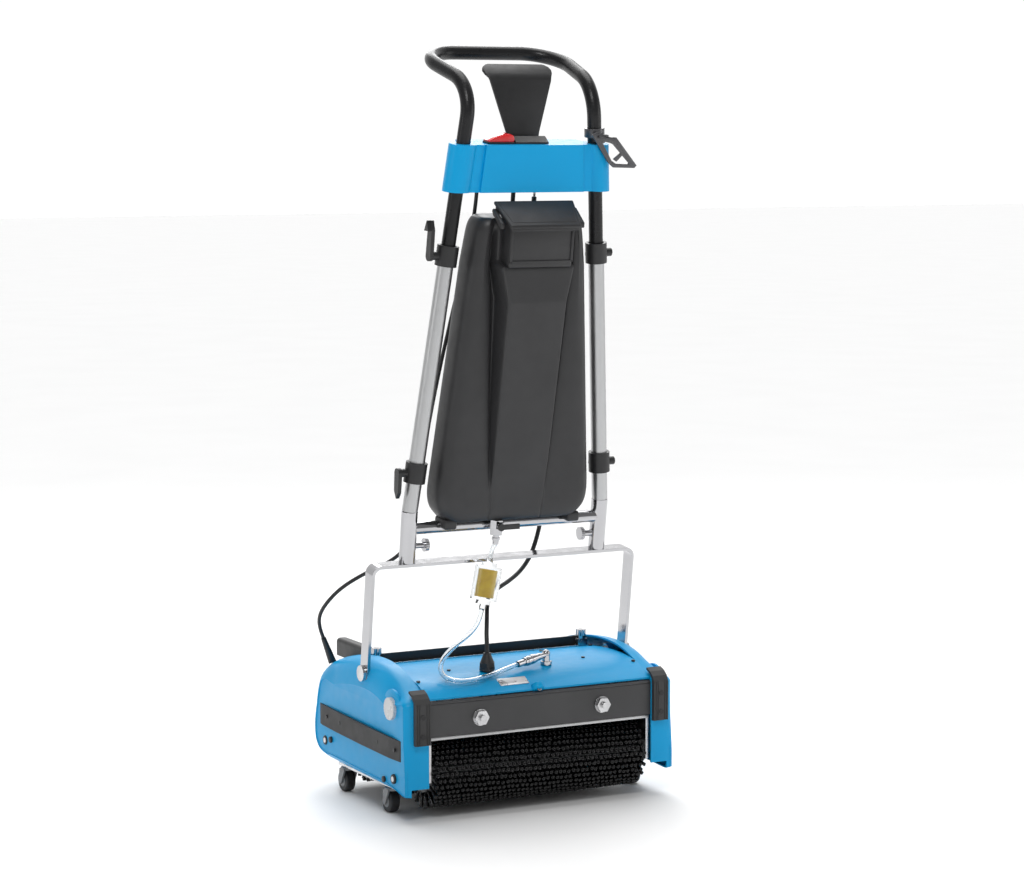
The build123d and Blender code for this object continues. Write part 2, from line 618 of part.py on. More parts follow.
UPPER_HOSE = [VALVE_TIP, (-29, -45, 401), (-35, -50, 392), tuple(along_filter(40))]
LOWER_HOSE = [tuple(along_filter(-40)), tuple(along_filter(-58)), (-80, -68, 271), (-106, -76, 259),
              (-128, -84, 248), (-145, -92, 234), (-152, -106, 220), (-147, -122, 213), (-131, -133, 210),
              (-110, -132, 210), (-87, -126, 211.5), (-61, -117, 214),
              tuple(Vector(*COUPLING_0) - COUPLING_AXIS * 23), COUPLING_0]
MOTOR_CABLE = [(-63, -90, GLAND_TOP - 12), (-63, -90, 248), (-60.5, -83, 269), (-52, -68, 289), (-37, -40, 309),
               (-25, -28, 322), (-9, -24, 331), (16, -16, 340), (40, -9, 353), (60, -3, 373), (74, 3, 398),
               (84, 7, 426), (91, 9, 456)] + [
    leant_point(*p) for p in ((92, 41, 300), (80, 43, 362), (60, 43, 430), (38, 43, 500), (18, 42, 570),
                              (4, 40, 636), (-2, 37.5, 692), (-4, 35.6, 738), MOTOR_ENTRY)]
LEAD = [leant_point(*p) for p in (LEAD_ENTRY, (-68, 35.6, 736), (-72, 38, 690), (-83, 41, 624), (-97, 42, 550),
                                  (-111, 43, 472), (-123, 43, 394), (-131, 43, 322), (-138, 43, 262))] + [
    (-143, 16, 424), (-149, 22, 398), (-167, 36, 377), (-205, 60, 356), (-234, 82, 333), (-249, 103, 308),
    (-253, 124, 285), (-246, 140, 262), (-236, 146, 243)]
BOOT_END = (-215, 158, 200.5)


def lead_boot():
    """Tapered rubber boot where the brush lead enters the left housing."""
    top, low = Vector(*LEAD[-1]), Vector(*BOOT_END)
    line = top - low
    boot = Plane(low, z_dir=line) * Pos(0, 0, line.length / 2) * Cone(6.5, 4, line.length)
    return boot - housing_left()


def housing_left():
    return mirrored(housing_block(0))


def main():
    save("base_frame", base_frame())
    save("front_plate", front_plate())
    save("rear_plate", group(rear_plate(), cable_box()))
    save("corner_strips", group(mirrored(corner_strip()), corner_strip()))
    save("top_cover", top_cover())
    cover = side_cover()
    save("side_cover_right", cover)
    save("side_cover_left", mirrored(cover))
    save("bumpers", group(mirrored(bumper()), bumper()))
    save("cover_fasteners", group(front_nut(-NUT_X), front_nut(NUT_X), *cover_screws()))
    save("pivot_bolts", group(mirrored(pivot_bolt()), pivot_bolt()))
    save("cable_gland", cable_gland())
    save("hose_elbow", hose_elbow())
    save("motor", motor())
    save("motor_pulley", motor_pulley())
    save("drive_belt", drive_belt())
    save("front_brush_core", roller(-BRUSH_Y, CORE_R))
    save("rear_brush_core", roller(BRUSH_Y, CORE_R))
    save("front_bristles", bristles(-BRUSH_Y))
    save("rear_bristles", bristles(BRUSH_Y))
    save("pickup_drum", pickup_drum())
    for side, word in ((-1, "left"), (1, "right")):
        for y, end in zip(CASTOR_Y, ("front", "rear")):
            save(f"castor_fork_{end}_{word}", castor_fork(side * CASTOR_X, y))
            save(f"castor_wheel_{end}_{word}", castor_wheel(side * CASTOR_X, y))
        place = mirrored if side < 0 else lambda shape: shape
        save(f"star_knob_{word}", star_knob(side))
        save(f"side_knob_{word}", place(side_knob()))
        save(f"lock_knob_{word}", leant(place(lock_knob())))
    save("recovery_tank", recovery_tank())
    save("bail", leant(bail()))
    save("tube_sockets", leant(group(mirrored(tube_socket()), tube_socket(), cross_tube())))
    save("lower_tubes", leant(group(mirrored(lower_tube()), lower_tube())))
    save("handle_loop", leant(handle_loop()))
    collars = [collar(COLLAR_LOW), collar(COLLAR_HIGH)]
    save("collars", leant(group(*collars, *[mirrored(c) for c in collars])))
    save("cable_hook_upper", leant(cable_hook(COLLAR_HIGH, 55)))
    save("cable_hook_lower", leant(cable_hook(COLLAR_LOW, -40)))
    save("console", leant(console()))
    save("console_back", leant(group(console_back(), control_unit())))
    save("red_switch", leant(red_switch()))
    save("thumb_latch", leant(thumb_latch()))
    save("deadman_paddle", leant(paddle()))
    save("cord_keeper", leant(cord_keeper()))
    save("solution_tank", leant(solution_tank()))
    save("tank_lid", leant(tank_lid()))
    save("valve_body", leant(valve_body()))
    save("valve_lever", leant(valve_lever()))
    save("filter_housing", filter_housing())
    save("filter_insert", filter_insert())
    save("quick_coupling", quick_coupling())
    save("upper_hose", tube_along("upper_hose", UPPER_HOSE, HOSE_R))
    save("lower_hose", tube_along("lower_hose", LOWER_HOSE, HOSE_R))
    save("motor_cable", tube_along("motor_cable", MOTOR_CABLE, CABLE_R))
    save("brush_lead", tube_along("brush_lead", LEAD, LEAD_R))
    save("lead_boot", lead_boot())


main()
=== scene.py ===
import json
from math import cos, radians, sin, sqrt, tau

import bmesh
import bpy
from mathutils import Matrix, Vector, noise


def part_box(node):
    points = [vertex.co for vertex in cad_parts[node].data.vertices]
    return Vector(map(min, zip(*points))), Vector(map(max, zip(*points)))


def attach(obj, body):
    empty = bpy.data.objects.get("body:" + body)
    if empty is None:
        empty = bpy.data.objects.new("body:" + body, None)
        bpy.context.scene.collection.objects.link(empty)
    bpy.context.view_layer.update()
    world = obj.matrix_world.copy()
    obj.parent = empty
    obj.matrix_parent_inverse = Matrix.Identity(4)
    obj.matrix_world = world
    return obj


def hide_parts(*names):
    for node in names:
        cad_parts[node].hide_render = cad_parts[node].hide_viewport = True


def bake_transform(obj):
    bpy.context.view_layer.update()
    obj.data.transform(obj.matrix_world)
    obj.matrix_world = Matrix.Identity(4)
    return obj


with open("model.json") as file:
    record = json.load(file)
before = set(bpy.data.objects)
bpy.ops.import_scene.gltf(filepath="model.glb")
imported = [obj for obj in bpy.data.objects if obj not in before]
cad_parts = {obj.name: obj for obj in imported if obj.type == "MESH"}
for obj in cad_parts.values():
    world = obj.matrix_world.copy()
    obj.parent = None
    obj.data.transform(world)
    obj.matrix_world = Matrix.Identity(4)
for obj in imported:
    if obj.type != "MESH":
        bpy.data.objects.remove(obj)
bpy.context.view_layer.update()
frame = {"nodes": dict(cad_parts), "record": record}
MM = 0.001
SIDES = (("left", -1), ("right", 1))

# The handle's own frame leans forward about the pivot line.
PIVOT_Z, LEAN = 0.205, radians(7.7)
TO_HANDLE = Matrix.Translation((0, 0, PIVOT_Z)) @ Matrix.Rotation(LEAN, 4, "X")
# Pieces are drawn with the pivot line at y = 0, then moved forward to centre the base on the origin.
MIDDLE = Vector((0, -0.0155, 0))


def leant(x, y, z):
    """A point of the handle's frame, given in millimetres, in the machine's frame."""
    return TO_HANDLE @ Vector((x * MM, y * MM, z * MM))


# ---------------------------------------------------------------- materials
def shader(name):
    """A new material, its node tree and its Principled BSDF node."""
    material = bpy.data.materials.new(name)
    material.use_nodes = True
    tree = material.node_tree
    return material, tree, tree.nodes["Principled BSDF"]


def add(tree, kind, **values):
    """Adds a node and sets its attributes or, by name, its input sockets."""
    node = tree.nodes.new(kind)
    for key, value in values.items():
        if hasattr(node, key):
            setattr(node, key, value)
        else:
            node.inputs[key.replace("_", " ")].default_value = value
    return node


def pattern(tree, scale, stretch=(1, 1, 1), detail=3.0):
    """A noise in object space, in metres, stretched along the axes."""
    place = add(tree, "ShaderNodeTexCoord")
    mapping = add(tree, "ShaderNodeMapping")
    mapping.inputs["Scale"].default_value = stretch
    tree.links.new(place.outputs["Object"], mapping.inputs["Vector"])
    texture = add(tree, "ShaderNodeTexNoise", Scale=scale, Detail=detail)
    tree.links.new(mapping.outputs["Vector"], texture.inputs["Vector"])
    return texture.outputs["Fac"]


def ranged(tree, source, low, high, start=0.3, end=0.7):
    """A value that runs from low to high as the source runs from start to end."""
    node = add(tree, "ShaderNodeMapRange")
    for key, value in (("From Min", start), ("From Max", end), ("To Min", low), ("To Max", high)):
        node.inputs[key].default_value = value
    tree.links.new(source, node.inputs["Value"])
    return node.outputs["Result"]


def tinted(tree, source, dark, light):
    """A colour that runs from dark to light with the source."""
    ramp = add(tree, "ShaderNodeValToRGB")
    ramp.color_ramp.elements[0].position = 0.32
    ramp.color_ramp.elements[1].position = 0.68
    ramp.color_ramp.elements[0].color = (*dark, 1)
    ramp.color_ramp.elements[1].color = (*light, 1)
    tree.links.new(source, ramp.inputs["Fac"])
    return ramp.outputs["Color"]


def finish(name, colour, rough, metal=0.0, spread=0.08, grain=0.0, grain_size=1500, bevel=0.0007,
           stretch=(1, 1, 1), tone_scale=9, coat=0.0, rough_spread=0.05, gloss=0.5):
    """A moulded, painted or plated surface: tone, roughness and grain vary; edges look rounded."""
    material, tree, body = shader(name)
    dark = tuple(c * (1 - spread) for c in colour)
    light = tuple(min(1, c * (1 + spread)) for c in colour)
    tree.links.new(tinted(tree, pattern(tree, tone_scale, stretch), dark, light), body.inputs["Base Color"])
    smoothest = max(0.02, rough - rough_spread)
    sheen = ranged(tree, pattern(tree, 60, stretch), smoothest, rough + rough_spread)
    tree.links.new(sheen, body.inputs["Roughness"])
    body.inputs["Metallic"].default_value = metal
    body.inputs["Specular IOR Level"].default_value = gloss
    if coat:
        body.inputs["Coat Weight"].default_value = coat
        body.inputs["Coat Roughness"].default_value = 0.12
    normal = None
    if bevel:
        edge = add(tree, "ShaderNodeBevel", samples=4)
        edge.inputs["Radius"].default_value = bevel
        normal = edge.outputs["Normal"]
    if grain:
        bump = add(tree, "ShaderNodeBump", Strength=0.35, Distance=grain)
        tree.links.new(pattern(tree, grain_size, stretch, 2.0), bump.inputs["Height"])
        if normal:
            tree.links.new(normal, bump.inputs["Normal"])
        normal = bump.outputs["Normal"]
    if normal:
        tree.links.new(normal, body.inputs["Normal"])
    return material


def clear_plastic(name, colour, rough=0.04, ior=1.45):
    """A see-through plastic with faint ripples."""
    material, tree, body = shader(name)
    body.inputs["Base Color"].default_value = (*colour, 1)
    body.inputs["Transmission Weight"].default_value = 1.0
    body.inputs["IOR"].default_value = ior
    tree.links.new(ranged(tree, pattern(tree, 80), rough * 0.6, rough * 1.8), body.inputs["Roughness"])
    bump = add(tree, "ShaderNodeBump", Strength=0.12, Distance=0.0006)
    tree.links.new(pattern(tree, 220, (1, 1, 0.3)), bump.inputs["Height"])
    tree.links.new(bump.outputs["Normal"], body.inputs["Normal"])
    return material


BLUE = (0.0, 0.3456, 0.696)
FINISHES = {
    "blue_plastic": finish("blue_plastic", BLUE, 0.36, spread=0.04, grain=0.00003, coat=0.04,
                           tone_scale=5, gloss=0.22),
    "black_plastic": finish("black_plastic", (0.018, 0.018, 0.019), 0.42, spread=0.2, grain=0.00015),
    "charcoal_plastic": finish("charcoal_plastic", (0.042, 0.042, 0.044), 0.4, spread=0.12, grain=0.0001),
    "tank_plastic": finish("tank_plastic", (0.024, 0.024, 0.0255), 0.46, spread=0.12, grain=0.00018,
                           grain_size=1100, bevel=0.001),
    "chrome": finish("chrome", (0.5, 0.5, 0.515), 0.13, metal=1, spread=0.03, tone_scale=30,
                     rough_spread=0.04),
    "steel": finish("steel", (0.6, 0.6, 0.61), 0.28, metal=1, spread=0.1, grain=0.00004, tone_scale=40),
    "aluminium": finish("aluminium", (0.5, 0.505, 0.51), 0.36, metal=1, spread=0.05, grain=0.00003,
                        grain_size=900, stretch=(1, 1, 0.03), tone_scale=60),
    "black_metal": finish("black_metal", (0.014, 0.014, 0.015), 0.3, spread=0.15, grain=0.00006,
                          grain_size=700, gloss=0.3),
    "rubber": finish("rubber", (0.035, 0.035, 0.036), 0.62, spread=0.2, grain=0.00025, grain_size=900),
    "tyre": finish("tyre", (0.016, 0.016, 0.017), 0.55, spread=0.2, grain=0.0002),
    "grey_plastic": finish("grey_plastic", (0.2, 0.205, 0.21), 0.4, spread=0.1, grain=0.0001),
    "bristle": finish("bristle", (0.0045, 0.0045, 0.005), 0.27, spread=0.4, grain=0.0001, bevel=0,
                      tone_scale=120),
    "knob_white": finish("knob_white", (0.62, 0.63, 0.64), 0.3, spread=0.08, grain=0.00008),
    "clear": clear_plastic("clear", (0.93, 0.95, 0.96)),
    "yellow": finish("yellow", (1.0, 0.62, 0.08), 0.5, spread=0.12, grain=0.0003, tone_scale=90),
    "red": finish("red", (0.72, 0.012, 0.015), 0.25, spread=0.1, coat=0.4, grain=0.00005),
    "cable": finish("cable", (0.014, 0.014, 0.015), 0.45, spread=0.2, grain=0.0001, bevel=0),
    "gunmetal": finish("gunmetal", (0.1, 0.1, 0.105), 0.3, metal=0.6, spread=0.12, grain=0.00005),
}

# Every CAD node takes the finish of its own slot, flat-shaded.
SLOTS = {entry["node"]: entry["material_slot"] for entry in frame["record"]["subparts"]}
for node_name, node in frame["nodes"].items():
    node.data.materials.clear()
    node.data.materials.append(FINISHES[SLOTS[node_name]])
    for face in node.data.polygons:
        face.use_smooth = False


# ---------------------------------------------------------------- mesh helpers
# Edges that turn more than this are rounded, or kept sharp in shading.
ROUNDED_OVER, SHARP_OVER = radians(28), radians(50)


def baked(thing):
    """The object's mesh with its modifiers applied."""
    bpy.context.view_layer.update()
    return bpy.data.meshes.new_from_object(thing.evaluated_get(bpy.context.evaluated_depsgraph_get()))


def piece(name, vertices, faces, slot, body, smooth=True, rounded=0.0, segments=3, subdivide=0,
          in_handle=False):
    """Makes a mesh object with the slot's finish, riding on a body, its modifiers applied."""
    mesh = bpy.data.meshes.new(name)
    mesh.from_pydata([tuple(v) for v in vertices], [], faces)
    if in_handle:
        mesh.transform(TO_HANDLE)
    mesh.transform(Matrix.Translation(MIDDLE))
    tidy = bmesh.new()
    tidy.from_mesh(mesh)
    bmesh.ops.remove_doubles(tidy, verts=tidy.verts, dist=1e-7)
    bmesh.ops.recalc_face_normals(tidy, faces=tidy.faces)
    tidy.to_mesh(mesh)
    tidy.free()
    thing = bpy.data.objects.new(name, mesh)
    bpy.context.scene.collection.objects.link(thing)
    if rounded:
        bevel = thing.modifiers.new("rounded", "BEVEL")
        bevel.width, bevel.segments = rounded, segments
        bevel.limit_method, bevel.angle_limit = "ANGLE", ROUNDED_OVER
    if subdivide:
        thing.modifiers.new("smooth", "SUBSURF").levels = subdivide
    if rounded or subdivide:
        final = baked(thing)
        thing.modifiers.clear()
        thing.data = final
    thing.data.materials.clear()
    thing.data.materials.append(FINISHES[slot])
    for face in thing.data.polygons:
        face.use_smooth = smooth
    if smooth and rounded:
        thing.data.set_sharp_from_angle(angle=SHARP_OVER)
    if body:
        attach(thing, body)
    return thing


def lofted(rings, closed_ends=True):
    """Quads between rings of the same number of points, with the two ends filled."""
    count = len(rings[0])
    vertices = [p for ring in rings for p in ring]
    faces = []
    for row in range(len(rings) - 1):
        for i in range(count):
            a, b = row * count + i, row * count + (i + 1) % count
            faces.append((a, b, b + count, a + count))
    if closed_ends:
        faces.append(tuple(range(count))[::-1])
        faces.append(tuple(range((len(rings) - 1) * count, len(rings) * count)))
    return vertices, faces


def slab(outline, low, high, axis):
    """A flat outline, in millimetres, given a thickness along an axis."""
    def at(u, v, w):
        spot = {"x": (w, u, v), "y": (u, w, v), "z": (u, v, w)}[axis]
        return tuple(c * MM for c in spot)
    return lofted([[at(u, v, low) for u, v in outline], [at(u, v, high) for u, v in outline]])


def flat(name, outline, low, high, axis, slot, body, radius, in_handle=False):
    """A piece made from a flat outline and a thickness, its edges rounded to a radius in metres."""
    vertices, faces = slab(outline, low, high, axis)
    return piece(name, vertices, faces, slot, body, rounded=radius, in_handle=in_handle)


def rounded_box(name, x, y, z, slot, body, radius=0.002, in_handle=False):
    """A box between three pairs of limits in millimetres."""
    corners = [(x[0], y[0]), (x[1], y[0]), (x[1], y[1]), (x[0], y[1])]
    return flat(name, corners, *z, "z", slot, body, radius, in_handle)


def frames_along(points):
    """Parallel-transported frames along a line of points."""
    spots = [Vector(p) for p in points]
    tangents = []
    for i in range(len(spots)):
        ahead, behind = spots[min(i + 1, len(spots) - 1)], spots[max(i - 1, 0)]
        tangents.append((ahead - behind).normalized())
    side = tangents[0].orthogonal().normalized()
    result = []
    for spot, tangent in zip(spots, tangents):
        side = (side - tangent * side.dot(tangent)).normalized()
        result.append((spot, side, tangent.cross(side)))
    return result


def tube(points, radius, sides=20, bore=0.0):
    """A round tube along points; a bore makes it hollow, with ring-shaped ends."""
    rows = frames_along(points)

    def ring(row, size):
        spot, u, v = row
        turns = [tau * k / sides for k in range(sides)]
        return [spot + u * (size * cos(turn)) + v * (size * sin(turn)) for turn in turns]
    outer = [ring(row, radius) for row in rows]
    if not bore:
        return lofted(outer)
    inner = [ring(row, bore) for row in reversed(rows)]
    vertices, faces = lofted(outer + inner, closed_ends=False)
    total = len(outer + inner)
    for k in range(sides):
        a, b = (total - 1) * sides + k, (total - 1) * sides + (k + 1) % sides
        faces.append((a, b, (k + 1) % sides, k))
    return vertices, faces


def metres(*points):
    """Points given in millimetres, as vectors in metres."""
    return [Vector(p) * MM for p in points]


def disc(name, start, end, radius, slot, body, sides=28, in_handle=False):
    """A short round piece between two points in millimetres, with softened rims."""
    vertices, faces = tube(metres(start, end), radius * MM, sides=sides)
    return piece(name, vertices, faces, slot, body, rounded=min(0.0008, radius * MM * 0.15), segments=2,
                 in_handle=in_handle)


def route_line(name, points):
    """The smooth line of a cord: a NURBS spline with the route's points as its control points."""
    curve = bpy.data.curves.new(name + "_line", "CURVE")
    curve.dimensions = "3D"
    spline = curve.splines.new("NURBS")
    spline.points.add(len(points) - 1)
    for point, spot in zip(spline.points, points):
        point.co = (*spot, 1)
    spline.order_u = 3
    spline.use_endpoint_u = True
    spline.resolution_u = 10
    holder = bpy.data.objects.new(name + "_line", curve)
    mesh = bpy.data.meshes.new_from_object(holder)
    line = [v.co.copy() for v in mesh.vertices]
    bpy.data.objects.remove(holder)
    bpy.data.curves.remove(curve)
    return line


# ---------------------------------------------------------------- camera, light and floor
# The camera is turned this far, in degrees, from straight ahead and from level.
VIEW_YAW, VIEW_DOWN = 28, 6.04
CAMERA_SPOT, LENS, SENSOR = Vector((-2.123, -4.047, 1.050)), 101.9, 36
# Name, place, power in watts and size in metres of each area light.
LAMPS = (("key", (-1.4, -2.2, 3.1), 34, 0.9), ("fill", (2.6, -1.8, 1.2), 10, 1.2),
         ("side", (-2.9, 0.2, 1.0), 4, 0.9), ("back", (0.9, 2.3, 2.4), 26, 1.4))
LAMP_TARGET = Vector((0, 0, 0.5))
FLOOR_HALF = 30


def camera():
    """Stands before the machine's left front corner, at handle height, looking slightly down."""
    view = bpy.data.objects.new("camera", bpy.data.cameras.new("camera"))
    view.location = CAMERA_SPOT + MIDDLE
    view.rotation_euler = (radians(90 - VIEW_DOWN), 0, radians(-VIEW_YAW))
    view.data.lens, view.data.sensor_width = LENS, SENSOR
    bpy.context.scene.collection.objects.link(view)
    bpy.context.scene.camera = view


def lamps():
    """Four soft area lights aimed at the machine, and a broad sun from above."""
    for name, spot, power, size in LAMPS:
        light = bpy.data.objects.new(name, bpy.data.lights.new(name, "AREA"))
        light.data.energy, light.data.size = power, size
        light.location = spot
        light.rotation_euler = (LAMP_TARGET - light.location).to_track_quat("-Z", "Y").to_euler()
        bpy.context.scene.collection.objects.link(light)
    sun = bpy.data.objects.new("sun", bpy.data.lights.new("sun", "SUN"))
    sun.data.energy, sun.data.angle = 1.9, radians(50)
    sun.rotation_euler = (radians(-14), radians(8), 0)
    bpy.context.scene.collection.objects.link(sun)


def backdrop():
    """White beyond the machine, dim on the near side, so that metal has something dark to reflect."""
    world = bpy.data.worlds.new("studio")
    bpy.context.scene.world = world
    world.use_nodes = True
    tree = world.node_tree
    place = add(tree, "ShaderNodeTexCoord")
    axis = add(tree, "ShaderNodeVectorMath", operation="DOT_PRODUCT")
    axis.inputs[1].default_value = (sin(radians(VIEW_YAW)), cos(radians(VIEW_YAW)), 0)
    tree.links.new(place.outputs["Generated"], axis.inputs[0])
    shade = ranged(tree, axis.outputs["Value"], 0.22, 1.02, start=0.05, end=0.8)
    tree.links.new(shade, tree.nodes["Background"].inputs["Color"])
    tree.nodes["Background"].inputs["Strength"].default_value = 1.0
    bpy.context.scene.view_settings.view_transform = "Standard"


def floor():
    """A matt white ground."""
    mesh = bpy.data.meshes.new("floor")
    corners = [(x * FLOOR_HALF, y * FLOOR_HALF, 0) for x, y in ((-1, -1), (1, -1), (1, 1), (-1, 1))]
    mesh.from_pydata(corners, [], [(0, 1, 2, 3)])
    ground = bpy.data.objects.new("floor", mesh)
    bpy.context.scene.collection.objects.link(ground)
    material, tree, body = shader("floor")
    white = tinted(tree, pattern(tree, 3), (0.93, 0.93, 0.93), (0.95, 0.95, 0.95))
    tree.links.new(white, body.inputs["Base Color"])
    body.inputs["Roughness"].default_value = 0.6
    mesh.materials.append(material)


# ---------------------------------------------------------------- hoses and leads
VALVE_TIP = leant(-26, -20, 205)
FILTER_MIDDLE = Vector((-0.046, -0.054, 0.345))
FILTER_AXIS = Vector((16, 5, 69)).normalized()
COUPLING_START = Vector((-0.016, -0.103, 0.2215))
COUPLING_END = Vector((0.030, -0.090, 0.228))
COUPLING_AXIS = (COUPLING_END - COUPLING_START).normalized()
HOSE_RADIUS, HOSE_BORE = 0.004, 0.0027


def along_filter(distance):
    """A point on the filter's axis, at a distance in millimetres above its middle."""
    return FILTER_MIDDLE + FILTER_AXIS * (distance * MM)


# Each route is the given control points of its spline.
UPPER_HOSE = [VALVE_TIP, *metres((-29, -45, 401), (-35, -50, 392)), along_filter(40)]
LOWER_HOSE = [along_filter(-40), along_filter(-58)] + metres(
    (-80, -68, 271), (-106, -76, 259), (-128, -84, 248), (-145, -92, 234), (-152, -106, 220),
    (-147, -122, 213), (-131, -133, 210), (-110, -132, 210), (-87, -126, 211.5), (-61, -117, 214)) + [
    COUPLING_START - COUPLING_AXIS * 0.023, COUPLING_START]
MOTOR_CABLE = metres(
    (-63, -90, 230), (-63, -90, 248), (-60.5, -83, 269), (-52, -68, 289), (-37, -40, 309),
    (-25, -28, 322), (-9, -24, 331), (16, -16, 340), (40, -9, 353), (60, -3, 373), (74, 3, 398),
    (84, 7, 426), (91, 9, 456)) + [
    leant(*p) for p in ((92, 41, 300), (80, 43, 362), (60, 43, 430), (38, 43, 500), (18, 42, 570),
                        (4, 40, 636), (-2, 37.5, 692), (-4, 35.6, 738), (-4, 35, 762))]
BRUSH_LEAD = [
    leant(*p) for p in ((-68, 35, 762), (-68, 35.6, 736), (-72, 38, 690), (-83, 41, 624),
                        (-97, 42, 550), (-111, 43, 472), (-123, 43, 394), (-131, 43, 322),
                        (-138, 43, 262))] + metres(
    (-143, 16, 424), (-149, 22, 398), (-167, 36, 377), (-205, 60, 356), (-234, 82, 333), (-249, 103, 308),
    (-253, 124, 285), (-246, 140, 262), (-236, 146, 243))


def cord(name, points, radius, node, slot, bends, bore=0.0, **facts):
    """One free cord: a tube along its spline, standing for its CAD node."""
    line = route_line(name, points)
    vertices, faces = tube(line, radius, bore=bore)
    flex = piece(name, vertices, faces, slot, None)
    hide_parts(node)
    line = [tuple(p + MIDDLE) for p in line]
    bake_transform(flex)


def cords():
    """The short upper hose moves with the handle; the other three run between base and handle."""
    vertices, faces = tube(route_line("stub", UPPER_HOSE), HOSE_RADIUS, bore=HOSE_BORE)
    stub = piece("upper_supply_hose", vertices, faces, "clear", "handle")
    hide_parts("upper_hose")
    cord("lower_supply_hose", LOWER_HOSE, HOSE_RADIUS, "lower_hose", "clear",
         ("base", "handle", (-0.12, -0.1, 0.215), (-0.06, -0.062, 0.3)), bore=HOSE_BORE,
         far_end="connector", stiffness="limp", lay="loose",
         with_pieces=["quick_coupling", "filter_housing", "filter_insert", stub.name])
    cord("motor_flex", MOTOR_CABLE, 0.0035, "motor_cable", "cable",
         ("base", "handle", (-0.063, -0.09, 0.242), (0.074, 0.003, 0.398)),
         far_end="object", stiffness="medium", lay="hanging")
    cord("brush_flex", BRUSH_LEAD, 0.003, "brush_lead", "cable",
         ("base", "handle", (-0.236, 0.146, 0.243), (-0.149, 0.022, 0.398)),
         far_end="object", stiffness="medium", lay="hanging", with_pieces=["lead_boot"])


# ---------------------------------------------------------------- brushes
# A fixed seed, so that the tufts stray the same way in every run.
noise.seed_set(1)


def brush(word, y, body):
    """Spiral rows of bristle tufts round one core, each tuft flared, ribbed and open at its tip."""
    core, tip, axle_z, half = 0.0300, 0.0545, 0.067, 0.183
    rows, columns, sides = 36, 46, 9
    twist, stray, lean_most, reach_spread, rib = 0.55, 0.035, 0.0022, 0.0006, 0.14
    # Distance from the axle and tuft radius, from root to open tip.
    stations = ((core - 0.001, 0.0019), (0.040, 0.0021), (0.0505, 0.0026), (tip - 0.0008, 0.0031),
                (tip, 0.0028), (tip - 0.0004, 0.0018), (tip - 0.003, 0.0011))
    vertices, faces = [], []
    for r in range(rows):
        for c in range(columns):
            x = -half + 2 * half * (c + 0.5 * (r % 2)) / (columns - 0.5)
            wobble = noise.noise_vector(Vector((x * 310, r * 1.7, y * 40)))
            angle = tau * r / rows + twist * x + wobble.x * stray
            lean = wobble.y * lean_most
            first = len(vertices)
            out = Vector((0, cos(angle), sin(angle)))
            across = Vector((0, -sin(angle), cos(angle)))
            for reach, size in stations:
                share = (reach - core) / (tip - core)
                distance = reach + wobble.z * reach_spread * share
                centre = Vector((x + lean * share, y, axle_z)) + out * distance
                for k in range(sides):
                    turn = tau * k / sides
                    fat = size * (1 + rib * (k % 3 - 1) * share)
                    vertices.append(centre + Vector((1, 0, 0)) * fat * cos(turn) + across * fat * sin(turn))
            for row in range(len(stations) - 1):
                for k in range(sides):
                    a, b = first + row * sides + k, first + row * sides + (k + 1) % sides
                    faces.append((a, b, b + sides, a + sides))
            last = first + (len(stations) - 1) * sides
            faces.append(tuple(range(last, last + sides)))
            faces.append(tuple(range(first, first + sides))[::-1])
    tufts = piece(f"{word}_tufts", vertices, faces, "bristle", body)
    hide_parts(f"{word}_bristles")


# ---------------------------------------------------------------- solution tank
def between(value, table):
    """Straight-line look-up in a short table of (place, size)."""
    if value <= table[0][0]:
        return table[0][1]
    for (a, u), (b, v) in zip(table, table[1:]):
        if value <= b:
            return u + (v - u) * (value - a) / (b - a)
    return table[-1][1]


# Heights and sizes in millimetres, in the handle's frame: half width, width of the raised tongue, how
# far the tongue stands out, how deep the grooves beside it are, where the flanks start, and share of depth.
TANK_HALF = ((245, 112), (248, 117), (262, 130), (276, 134), (292, 135), (650, 102), (700, 95), (713, 92),
             (722, 87), (725, 80))
TONGUE_FACE = ((262, 45), (305, 47), (598, 50), (650, 61), (660, 60))
TONGUE_OUT = ((262, 0), (300, 3), (330, 8), (598, 29), (650, 25), (655, 22), (659, 0))
GROOVE_DEEP = ((300, 0), (330, 3), (500, 8), (598, 10), (655, 13), (700, 12), (716, 2), (725, 0))
FLANK_EDGE = ((300, 51), (598, 67), (655, 72), (725, 70))
TANK_DEPTH = ((245, 0.8), (248, 0.88), (258, 0.97), (270, 1), (708, 1), (718, 0.93), (725, 0.78))
TANK_ROWS = (245, 246, 249, 256, 264, 276, 290, 300, 318, 350, 400, 450, 500, 550, 585, 594, 598, 603, 620,
             640, 647, 651, 654, 657, 660, 664, 680, 698, 708, 715, 720, 723, 725)


